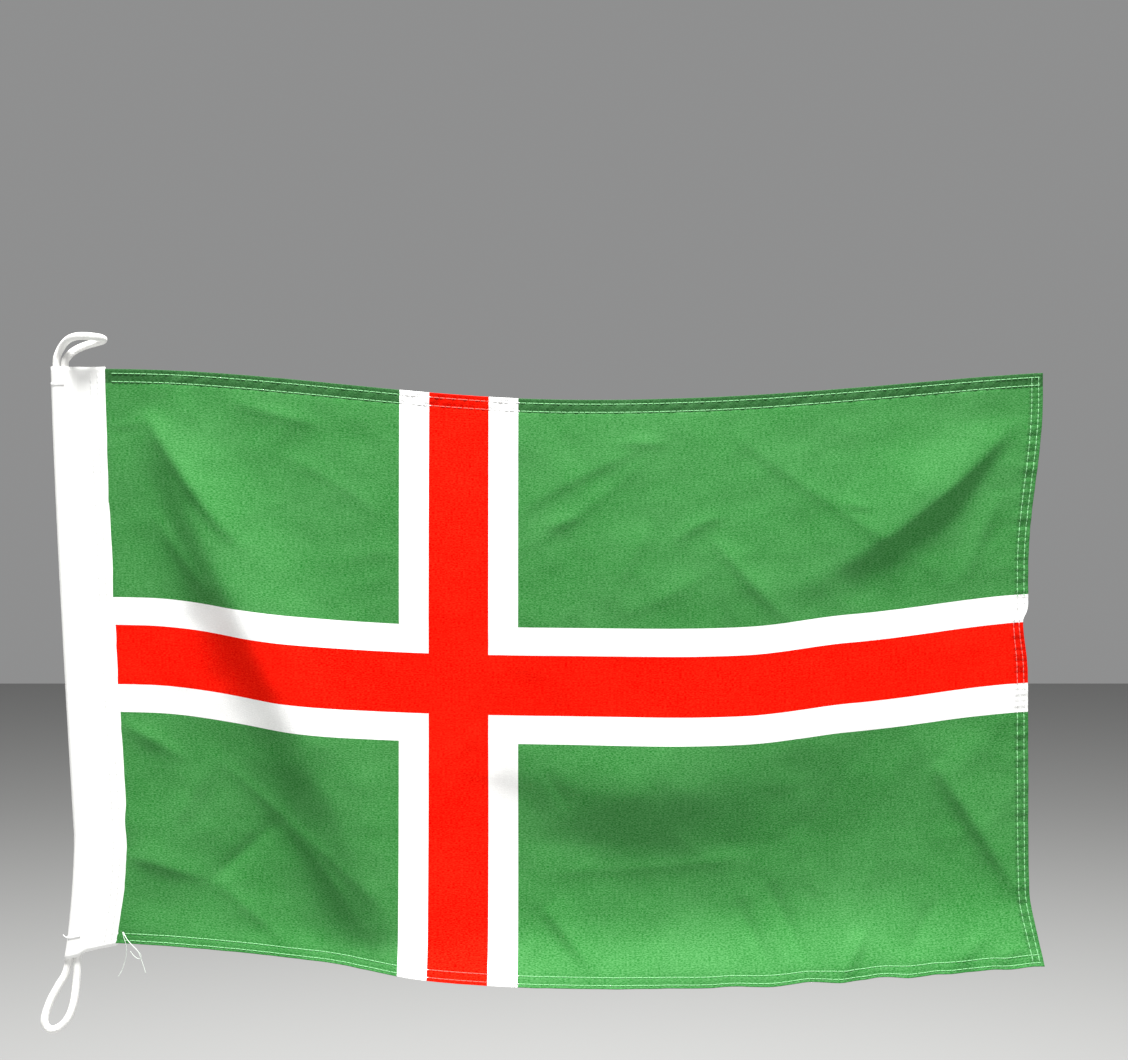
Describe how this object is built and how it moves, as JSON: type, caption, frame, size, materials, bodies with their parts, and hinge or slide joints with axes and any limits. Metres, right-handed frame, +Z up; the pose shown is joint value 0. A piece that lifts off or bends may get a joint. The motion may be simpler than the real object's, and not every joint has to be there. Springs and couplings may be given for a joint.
{
  "type": "hand flag",
  "caption": "Rectangular hemmed cloth flag with an off-centre cross, a folded heading and rope loops at the hoist, hanging from its two upper corners.",
  "frame": {"origin": "on the front face of the cloth, at the middle of the flat patch that holds the upper hoist corner", "axes": "+X from the hoist to the fly, +Z up, and the front of the cloth looks along -Y"},
  "size_m": [0.7409, 0.0422, 0.5169],
  "materials": {
    "printed_cloth": "matte plain weave polyester, printed green with a red cross edged white",
    "heading_canvas": "matte white canvas tape",
    "braided_rope": "matte white braid",
    "hem_thread": "pale polyester sewing thread that takes the tint of the print under it",
    "white_thread": "white polyester sewing thread",
    "loose_thread": "loose pale polyester thread"
  },
  "bodies": {
    "panel": {"flag_panel": "printed_cloth", "top_hem_outer_needle_thread": "hem_thread", "top_hem_outer_bobbin_thread": "hem_thread", "top_hem_inner_needle_thread": "hem_thread", "top_hem_inner_bobbin_thread": "hem_thread", "bottom_hem_outer_needle_thread": "hem_thread", "bottom_hem_outer_bobbin_thread": "hem_thread", "bottom_hem_inner_needle_thread": "hem_thread", "bottom_hem_inner_bobbin_thread": "hem_thread", "fly_hem_outer_needle_thread": "hem_thread", "fly_hem_outer_bobbin_thread": "hem_thread", "fly_hem_inner_needle_thread": "hem_thread", "fly_hem_inner_bobbin_thread": "hem_thread", "loose_thread_long": "loose_thread", "loose_thread_right": "loose_thread", "loose_thread_curl": "loose_thread"},
    "heading": {"heading_tape": "heading_canvas", "panel_seam_allowance": "printed_cloth", "hoist_rope": "braided_rope", "upper_rope_end": "braided_rope", "lower_rope_end": "braided_rope", "upper_bartack": "white_thread", "lower_bartack": "white_thread", "heading_seam_outer_needle_thread": "white_thread", "heading_seam_outer_bobbin_thread": "white_thread", "heading_seam_inner_needle_thread": "white_thread", "heading_seam_inner_bobbin_thread": "white_thread"},
    "upper_rope_loop": {"upper_loop": "braided_rope"},
    "lower_rope_loop": {"lower_loop": "braided_rope"}
  },
  "joints": [
    {"name": "heading_fold", "type": "hinge", "parent": "panel", "child": "heading", "pos_m": [-0.0124, 0.00025, 0.0141], "axis": [-0.0226, 0, 0.9997], "range_deg": [-90, 90], "stiffness_Nm_per_rad": 0.004},
    {"name": "upper_loop_swing", "type": "hinge", "parent": "heading", "child": "upper_rope_loop", "pos_m": [-0.044, 0.00025, 0.0192], "axis": [1, 0, 0], "range_deg": [-75, 75], "stiffness_Nm_per_rad": 0.008},
    {"name": "lower_loop_swing", "type": "hinge", "parent": "heading", "child": "lower_rope_loop", "pos_m": [-0.0346, 0.00025, -0.42345], "axis": [0.9781, 0, 0.2079], "range_deg": [-80, 80], "stiffness_Nm_per_rad": 0.008}
  ]
}
